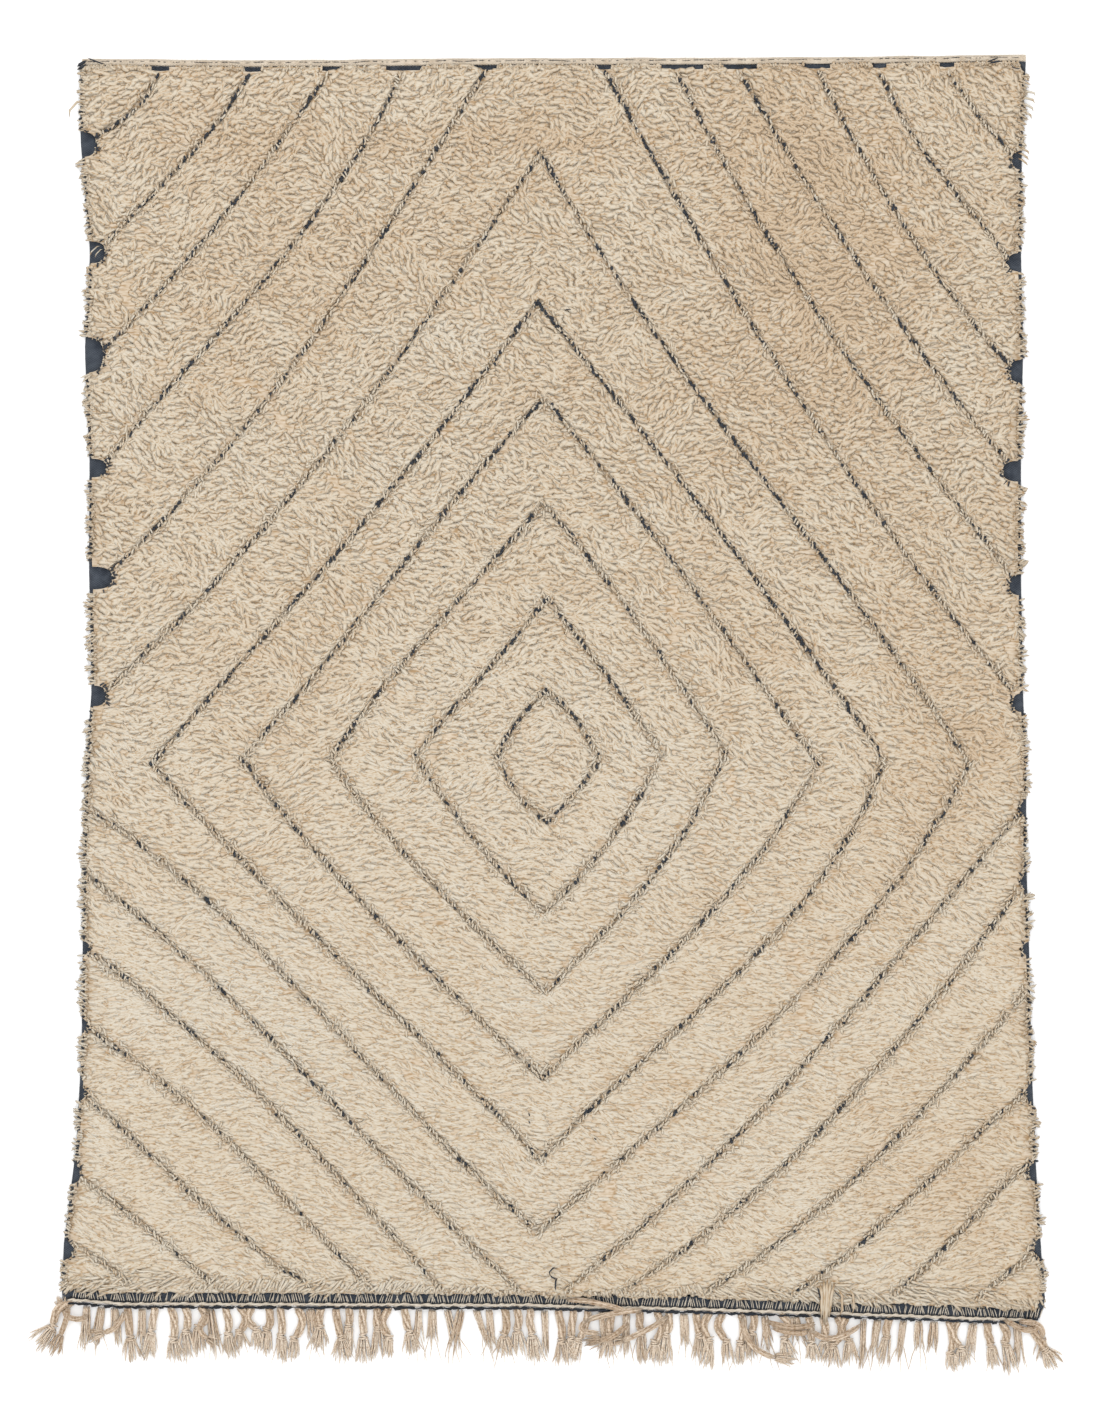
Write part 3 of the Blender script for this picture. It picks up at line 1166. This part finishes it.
def lay_heading(pile, dice):
    """Short yarns along the top that lie up against the band."""
    x = np.arange(BAND_ENDS[0] - BAND_REACH, BAND_ENDS[1] + BAND_REACH, 0.0040)
    count = len(x)
    x = x + dice.uniform(-0.0015, 0.0015, count)
    back = dice.uniform(0.008, 0.015, count)
    roots = in_frame(x, read_off(TOP_EDGE, x, 1) - BAND_WIDTH - back)
    angles = math.pi / 2 + 0.5 * ripple(roots, 14.0, 15.0) + dice.normal(0, 0.25, count)
    lengths = back + dice.uniform(0.002, 0.006, count)
    rest = yarn_dice(HEADING_YARNS, count, dice)
    pile.lay(roots, angles, lengths, *rest, pile_tones(roots, dice))


def lay_rims(cream, navy, dice):
    """Yarns that hang over the two selvedges, with navy loops between them."""
    for column, sign, _ in SIDES:
        for pile, (step, back) in ((cream, CREAM_RIM), (navy, NAVY_RIM)):
            y = np.arange(-1.04, 1.31, step)
            count = len(y)
            y = y + dice.uniform(-0.35, 0.35, count) * step
            inward = 0.006 + dice.uniform(0.0, 1.0, count) * back
            roots = in_frame(read_off(SELVEDGES, y, column) - sign * inward, y)
            angles = (0 if sign > 0 else math.pi) + 0.6 * ripple(roots, 26.0, 14.0)
            angles = angles + dice.normal(0, 0.2, count)
            lifts, widths = dice.uniform(0.002, 0.005, count), dice.uniform(0.0040, 0.0060, count)
            if pile is navy:
                lengths, lifts = inward + dice.uniform(-0.001, 0.005, count), lifts + 0.003
            else:
                lengths = inward + 0.0075 + 0.009 * ripple(roots, 45.0, 13.0)
            curls = dice.normal(0, 0.5, count)
            pile.lay(roots, angles, lengths, curls, lifts, widths, pile_tones(roots, dice))


def lay_hem(pile, dice):
    """Long yarns along the pile's lower rim, combed down over the dark strip."""
    low, high = CORD_ENDS
    x = np.arange(low + 0.004, high + HEM_OVER, 0.0034)
    count = len(x)
    x = x + dice.uniform(-0.002, 0.002, count)
    sweep = read_off(HEM_SWEEP, x, 1)
    back = 0.004 + dice.uniform(0, 0.040, count) * np.abs(sweep)
    y = read_off(BOTTOM_EDGE, x, 1) + rim_gap(x) + back
    roots = in_frame(x, y)
    angles = -math.pi / 2 + sweep + 0.60 * ripple(roots, 8.0, 8.0) + dice.normal(0, 0.20, count)
    reach = np.clip(1.2 * ripple(roots, 16.0, 12.0) + 0.16, 0, 1) + (x < HEM_LOW_END)
    drop = y - read_off(BOTTOM_EDGE, x, 1) - rim_gap(x) - 0.001 + 0.012 * reach
    lengths = np.clip(drop / np.maximum(-np.sin(angles), 0.35), *HEM_LENGTH)
    lengths = within_selvedges(lengths, x, y, angles, 0.006)
    rest = yarn_dice(HEM_YARNS, count, dice)
    pile.lay(roots, angles, lengths, *rest, pile_tones(roots, dice))


def lay_patch_rims(cream, navy, dice):
    """Thin yarns over the rims of the bare patches at the selvedges: pale ones from the pile, and
    navy ones that come out of the patch and lie over the pile."""
    patches = [(*patch, column, sign) for column, sign, rows in SIDES for patch in rows]
    for middle, half, depth, column, sign in patches:
        for pile, (yarns, past, turn, longest) in ((cream, CREAM_PATCH_RIM), (navy, NAVY_PATCH_RIM)):
            count = round(half * yarns)
            along = dice.uniform(-0.97, 0.97, count)
            inward = patch_depth(along)
            x = read_off(SELVEDGES, middle, column) - sign * (depth + past) * inward
            roots = in_frame(x, middle + (half + past) * along)
            angles = np.arctan2(-half * along, sign * depth * inward) + turn
            angles = angles + dice.normal(0, 0.5, count)
            lengths = longest * dice.uniform(0.4, 1.0, count)
            curls, lifts, widths = yarn_dice(PATCH_RIM_YARNS, count, dice)
            paths = pile.paths(roots, angles, lengths, curls, lifts)
            pile.strands.add(paths, widths, pile_tones(roots, dice) + 0.1)


def make_pile(fibres, navy_wool):
    """The backing, the cream locks and yarns, and the navy knots."""
    lanes = Lanes()
    heights, backing = make_backing(fibres)
    dice = np.random.default_rng(SEED)
    locks, cream, navy = Pile(heights, LOCK_SHARES, LOCK_SIZES), Pile(heights), Pile(heights)
    lay_main(locks, lanes, dice)
    lay_lane_edges(cream, lanes, dice)
    lay_hatching(cream, navy, lanes, dice)
    lay_rims(cream, navy, dice)
    lay_heading(cream, dice)
    lay_hem(cream, dice)
    lay_patch_rims(cream, navy, dice)
    cream.lay_loose(LOOSE_CREAM)
    navy.lay_loose(LOOSE_NAVY)
    wool = strand_material(
        "pile_wool",
        fibres,
        root=(0.43, 0.31, 0.185),
        tones=(
            (0.0, (0.455, 0.362, 0.260)),
            (0.5, (0.514, 0.455, 0.366)),
            (1.0, (0.530, 0.494, 0.424)),
        ),
        rise=(0.02, 0.34),
        streaks=(46.0, 3.4),
        shades=((0.35, (0.68, 0.53, 0.38)), (0.46, (0.94, 0.90, 0.85)), (0.60, (1.0, 1.0, 1.0))),
    )
    made = locks.strands.finish("pile_locks", LOCK_PIECES, wool, "cream_pile")
    made += cream.strands.finish("pile_yarns", 1, wool, "cream_pile")
    return [backing] + made + navy.strands.finish("lane_knots", 1, navy_wool, "navy_wool")


# ---- Bottom cord and fringe ----

def cord_run(first, last):
    """Places along the bottom edge, and how far the cord has turned there."""
    x = np.linspace(first, last, CORD_STATIONS)
    swing = sway(x, 12.0, 20.0)
    turn = x * 2 * math.pi / CORD_TURN + 2.4 * swing
    return x, read_off(BOTTOM_EDGE, x, 1) + 0.0008 * swing + 0.0007 * np.sin(turn), turn


def make_cord(cream, navy):
    """Two plies twined along the bottom edge, and dark threads along it: one below all of it, with
    a thick stitch in each gap of the fringe, and one above its left end."""
    shares = np.linspace(0, 1, CORD_STATIONS)
    sizes = np.where((shares > 0) & (shares < 1), 1.0, 0.0)
    x, middle, turn = cord_run(*CORD_ENDS)
    plies = Strands(6, 0.85, shares, sizes * (0.95 + 0.25 * sway(x, 34.0, 22.0)))
    twine(plies, x, middle - 0.0016, CORD_LEVEL, turn, (0.0014, 0.0012), PLY_WIDTH, 0.6)

    uneven = np.clip(0.75 + 0.80 * sway(x, 60.0, 21.0), 0.15, 1.3)
    threads = Strands(4, 0.5, shares, sizes * uneven)
    path = in_frame(x, middle - LOW_THREAD_IN - 0.0018 * np.abs(np.sin(turn)), LOW_THREAD_LEVEL)
    threads.add(path[None], LOW_THREAD_WIDTH, 0.1)
    x, middle, turn = cord_run(CORD_ENDS[0], HIGH_THREAD_END)
    path = in_frame(x, middle + HIGH_THREAD_OUT + 0.0008 * np.sin(turn), CORD_LEVEL)
    threads.add(path[None], HIGH_THREAD_WIDTH, 0.1)

    dice = np.random.default_rng(SEED + 4)
    roots = np.array([root - SHIFT for root, way in fringe_plan()])[:, 0]
    x = (roots[1:] + roots[:-1]) / 2 + dice.uniform(-0.002, 0.002, len(roots) - 1)
    y = read_off(BOTTOM_EDGE, x, 1) - 0.0050
    half, drop = dice.uniform(0.005, 0.009, len(x)), dice.uniform(0.003, 0.012, len(x))
    starts, middles = in_frame(x - half, y, 0.0052), in_frame(x, y - drop, 0.0070)
    ends = starts + np.column_stack([2 * half, 0 * x, 0 * x])
    stitches = Strands(3, 0.7)
    widths, tones = dice.uniform(0.0050, 0.0078, len(x)), dice.uniform(0.1, 0.5, len(x))
    stitches.add(bowed(starts, middles, ends), widths, tones)
    made = plies.finish("cord_plies", 1, cream, "cream_cord", "bottom_cord")
    made += threads.finish("cord_threads", 1, navy, "navy_wool")
    return made + stitches.finish("cord_stitches", 1, navy, "navy_wool")


def make_warp_ends(cream):
    """Pale warp threads that cross the dark strip above the cord at a slant."""
    dice = np.random.default_rng(SEED + 2)
    x = np.arange(CORD_ENDS[0] + 0.012, CORD_ENDS[1] + 0.010, WARP_PITCH)
    x = x + dice.uniform(-0.0014, 0.0014, len(x))
    count = len(x)
    lean = 0.0055 * np.sign(sway(x, 22.0, 30.0)) + dice.normal(0, 0.0016, count)
    tall = dice.uniform(0.017, 0.026, count)
    starts = in_frame(x, read_off(BOTTOM_EDGE, x, 1) + 0.0005, 0.0042)
    middles = starts + np.column_stack([lean * 0.4, tall * 0.5, 0 * x + 0.0025])
    ends = starts + np.column_stack([lean, tall, 0 * x + 0.001])
    strands = Strands(3, 0.8)
    widths, tones = dice.uniform(0.0019, 0.0029, count), dice.uniform(0.6, 1.0, count)
    strands.add(bowed(starts, middles, ends), widths, tones)
    return strands.finish("warp_ends", 1, cream, "cream_cord")


def fringe_plan():
    """Each bundle's root and the way to its tip, as the solids have them."""
    dice = random.Random(FRINGE_SEED)
    pitch = (FRINGE_ENDS[1] - FRINGE_ENDS[0]) / BUNDLES
    strays = [dice.uniform(-ROOT_JITTER, ROOT_JITTER) for _ in range(BUNDLES)]
    roots = [FRINGE_ENDS[0] + pitch * (i + 0.5 + stray) for i, stray in enumerate(strays)]
    tip = -math.inf
    leans = []
    for i, root in enumerate(roots):
        lean = FRINGE_LEAN * noise.noise(Vector((root * LEAN_WAVES, FRINGE_SEED, 0.0)))
        lean += dice.uniform(-OWN_LEAN, OWN_LEAN)
        lean += END_LEAN * (math.exp(-(BUNDLES - 1 - i)) - math.exp(-i))
        tip = max(root + lean, tip + BUNDLE_ROOM)
        leans.append(tip - root)
    plan = []
    for root, lean in zip(roots, leans):
        length = FRINGE_LENGTH + dice.uniform(-FRINGE_UNEVEN, FRINGE_UNEVEN)
        foot = read_off(BOTTOM_EDGE, root, 1) - CORD_WIDTH / 2 - STRIP_WIDTH
        plan.append((np.array([root, foot]) + SHIFT, np.array([lean, -length])))
    return plan


class Fringe:
    """Trunks wound from three plies, knots, and brushes of loose threads."""

    def __init__(self, dice):
        self.dice = dice
        self.trunks = Strands(5, 0.7, TRUNK_SHARES, TRUNK_SIZES, FRINGE_GRAIN)
        self.threads = Strands(3, 0.7, BRUSH_SHARES, BRUSH_SIZES, FRINGE_GRAIN)

    def wind(self, line, level, tone, size=1.0):
        """Winds three plies around a line of places, with a dark thread between each two."""
        ways = np.gradient(line, axis=0)
        side = np.column_stack([-ways[:, 1], ways[:, 0]]) / np.linalg.norm(ways, axis=1)[:, None]
        picked = np.interp(BRUSH_SHARES, TRUNK_SHARES, np.arange(len(TRUNK_SHARES))).round()
        picked = picked.astype(int)
        turn = 2 * math.pi * np.array(TRUNK_SHARES) * self.dice.uniform(0.3, 0.7)
        turn = turn + self.dice.uniform(0, 2 * math.pi)
        for ply in range(3):
            at = turn + ply * 2 * math.pi / 3
            spots = line + side * (size * TRUNK_SWING[0] * np.sin(at))[:, None]
            path = np.column_stack([spots, level + size * TRUNK_SWING[1] * np.cos(at)])
            width = size * self.dice.uniform(*TRUNK_PLY)
            self.trunks.add(path[None], width, tone + self.dice.normal(0, 0.08))
            groove = line + side * (size * GROOVE_SWING * np.sin(at + math.pi / 3))[:, None]
            path = np.column_stack([groove, np.full(len(groove), level + size * GROOVE_LEVEL)])
            self.threads.add(path[picked][None], size * GROOVE_WIDTH, tone - 0.6)

    def tie(self, place, way, level, tone):
        """Ties a knot: three turns across the bundle."""
        side = np.array([-way[1], way[0]])
        for step in KNOT_TURNS:
            middle = place + way * step
            slant = way * self.dice.uniform(-KNOT_SLANT, KNOT_SLANT)
            start = np.array([*(middle - side * KNOT_HALF - slant), 0.002])
            end = np.array([*(middle + side * KNOT_HALF + slant), 0.002])
            path = bowed([start], [np.array([*middle, level])], [end], BRUSH_SHARES)
            width = self.dice.uniform(*KNOT_WIDTH)
            self.threads.add(path, width, tone + self.dice.uniform(-0.1, 0.15))

    def brush(self, place, way, length, count, spreads, thick, tone):
        """Loose threads that leave a place, spread and curl."""
        dice = self.dice
        side = np.array([-way[1], way[0]])
        fan = np.linspace(-1, 1, count) + dice.normal(0, 0.12, count)
        reach = length * (dice.uniform(0.72, 1.05, count) - 0.10 * fan**2)
        t = np.array(BRUSH_SHARES)[None]
        across = fan[:, None] * (spreads[0] + (spreads[1] - spreads[0]) * t**0.8)
        curl = dice.normal(0, 0.0034, count)[:, None] * t**2
        wave = dice.uniform(0.0006, 0.0022, count)[:, None]
        turns = t * dice.uniform(4, 9, count)[:, None] + dice.uniform(0, 6, count)[:, None]
        aside = across + (curl + wave * t * np.sin(turns))
        flat = place + way * (reach[:, None] * t)[:, :, None] + side * aside[:, :, None]
        first = dice.uniform(0.003, 0.009, count)[:, None]
        z = first + (dice.uniform(0.001, 0.004, count)[:, None] - first) * t
        tones = tone + dice.normal(0, 0.24, count)
        self.threads.add(np.dstack([flat, z]), dice.uniform(*thick, count), tones)

    def add_bundle(self, root, way):
        """A bundle that hangs straight: most have a trunk and a knot, and some are untied."""
        dice = self.dice
        length = np.hypot(*way)
        turned = math.atan2(way[1], way[0]) + dice.normal(0, 0.13)
        way = np.array([math.cos(turned), math.sin(turned)])
        side = np.array([-way[1], way[0]])
        tone = dice.uniform(0.30, 0.85)
        if dice.uniform() < 0.74:
            trunk = length * dice.uniform(0.34, 0.58)
            bend = dice.normal(0, 0.004) if dice.uniform() < 0.75 else dice.choice((-1, 1)) * 0.014
            t = np.array(TRUNK_SHARES)[:, None]
            line = root + way * (trunk * t - 0.004) + side * (bend * np.sin(math.pi * t))
            self.wind(line, np.interp(TRUNK_SHARES, (0, 0.3), (0.0030, 0.0054)), tone - 0.1)
            self.tie(line[-1], way, 0.019, tone + 0.1)
            reach, flare = (length - trunk) * dice.uniform(0.75, 1.12), dice.uniform(0.009, 0.022)
            self.brush(line[-1], way, reach, 12, (0.0060, flare), (0.0030, 0.0050), tone + 0.27)
        else:
            reach, flare = length * dice.uniform(0.60, 0.95), dice.uniform(0.003, 0.010)
            self.brush(root, way, reach, 10, (0.0058, flare), (0.0034, 0.0050), tone - 0.1)
        if dice.uniform() < 0.8:
            middle = root + way * length * 0.45
            self.brush(middle, way, length * 0.6, 3, (0.004, 0.019), (0.0014, 0.0022), tone)

    def add_swept(self, row):
        """A bundle that is swept across its neighbours: two windings, one on the other."""
        start, middle, end = (np.array(row[i : i + 2]) + SHIFT for i in (0, 2, 4))
        length, tone = row[6:]
        line = bowed([start], [middle], [end], TRUNK_SHARES)[0]
        way = (end - middle) / np.hypot(*(end - middle))
        self.wind(line, 0.0110, tone - 0.20, SWEPT_SIZE)
        self.wind(line, 0.0128, tone + 0.10, SWEPT_SIZE * 0.5)
        if length > 0:
            self.brush(end - way * 0.004, way, length, 14, (0.0048, 0.013), (0.0026, 0.0040), tone)


def make_fringe(wool):
    """A bundle at each place of the plan, and the few that are swept across them."""
    fringe = Fringe(np.random.default_rng(SEED + 3))
    for root, way in fringe_plan():
        fringe.add_bundle(root, way)
    for row in SWEPT:
        fringe.add_swept(row)
    made = fringe.trunks.finish("fringe_trunks", 1, wool, "fringe_wool", "fringe")
    return made + fringe.threads.finish("fringe_brushes", 1, wool, "fringe_wool", "fringe")


# ---- Setting ----

def make_floor():
    bm = bmesh.new()
    bmesh.ops.create_grid(bm, x_segments=1, y_segments=1, size=6)
    bmesh.ops.translate(bm, verts=bm.verts, vec=(0, 0, -0.0005))
    mesh = from_bmesh("floor", bm)
    mesh.materials.append(plain("floor_paint", (0.9, 0.9, 0.9), 0.9))
    floor = bpy.data.objects.new("floor", mesh)
    bpy.context.collection.objects.link(floor)


def make_lights():
    world = bpy.data.worlds.new("studio")
    world.use_nodes = True
    feed(world.node_tree.nodes["Background"], {"Color": (1.0, 1.0, 1.0, 1), "Strength": 1.5})
    bpy.context.scene.world = world
    lamp = bpy.data.lights.new("softbox", "AREA")
    lamp.shape = "RECTANGLE"
    lamp.size, lamp.size_y = 3.4, 2.2
    lamp.energy = 26
    softbox = bpy.data.objects.new("softbox", lamp)
    softbox.location = (-1.2, 3.2, 3.4)
    to_rug = Vector((0, 0, 0)) - softbox.location
    softbox.rotation_euler = to_rug.to_track_quat("-Z", "Y").to_euler()
    bpy.context.collection.objects.link(softbox)


def make_camera():
    lens = bpy.data.cameras.new("camera")
    lens.sensor_width = 36.0
    tall = IMAGE_SIZE[1] * PIXEL
    lens.lens = lens.sensor_width * (CAMERA_HEIGHT - PILE_LEVEL) / tall
    lens.clip_start, lens.clip_end = 0.1, 50
    camera = bpy.data.objects.new("camera", lens)
    camera.location = in_frame(*IMAGE_MIDDLE, CAMERA_HEIGHT)
    bpy.context.collection.objects.link(camera)
    bpy.context.scene.camera = camera


def make_rug():
    weave, fibres = weave_group(), fibre_group()
    navy = strand_material(
        "navy_yarn",
        fibres,
        root=(0.020, 0.024, 0.031),
        tones=((0.0, (0.022, 0.027, 0.036)), (1.0, (0.052, 0.059, 0.070))),
        rise=(0.05, 0.50),
        streaks=(40.0, 3.0),
        shades=((0.35, (0.70, 0.70, 0.70)), (0.60, (1.0, 1.0, 1.0))),
    )
    cream = strand_material(
        "cord_wool",
        fibres,
        root=(0.52, 0.46, 0.38),
        tones=((0.0, (0.44, 0.37, 0.29)), (1.0, (0.64, 0.59, 0.51))),
        rise=(0.0, 0.01),
        streaks=(120.0, 160.0),
        shades=((0.35, (0.84, 0.81, 0.78)), (0.60, (1.0, 1.0, 1.0))),
    )
    beige = strand_material(
        "fringe_wool",
        fibres,
        root=(0.40, 0.30, 0.22),
        tones=((0.0, (0.46, 0.36, 0.265)), (0.5, (0.63, 0.54, 0.44)), (1.0, (0.73, 0.66, 0.57))),
        rise=(0.0, 0.06),
        streaks=(90.0, 16.0),
        shades=((0.38, (0.52, 0.39, 0.28)), (0.48, (0.90, 0.86, 0.81)), (0.58, (1.0, 1.0, 1.0))),
    )
    ground = make_ground(weave)
    others = make_band(weave, cream, navy)
    others += make_pile(fibres, navy)
    others += make_cord(cream, navy)
    others += make_warp_ends(cream)
    others += make_fringe(beige)


make_floor()
make_lights()
make_camera()
bpy.context.scene.view_settings.view_transform = "Standard"
make_rug()
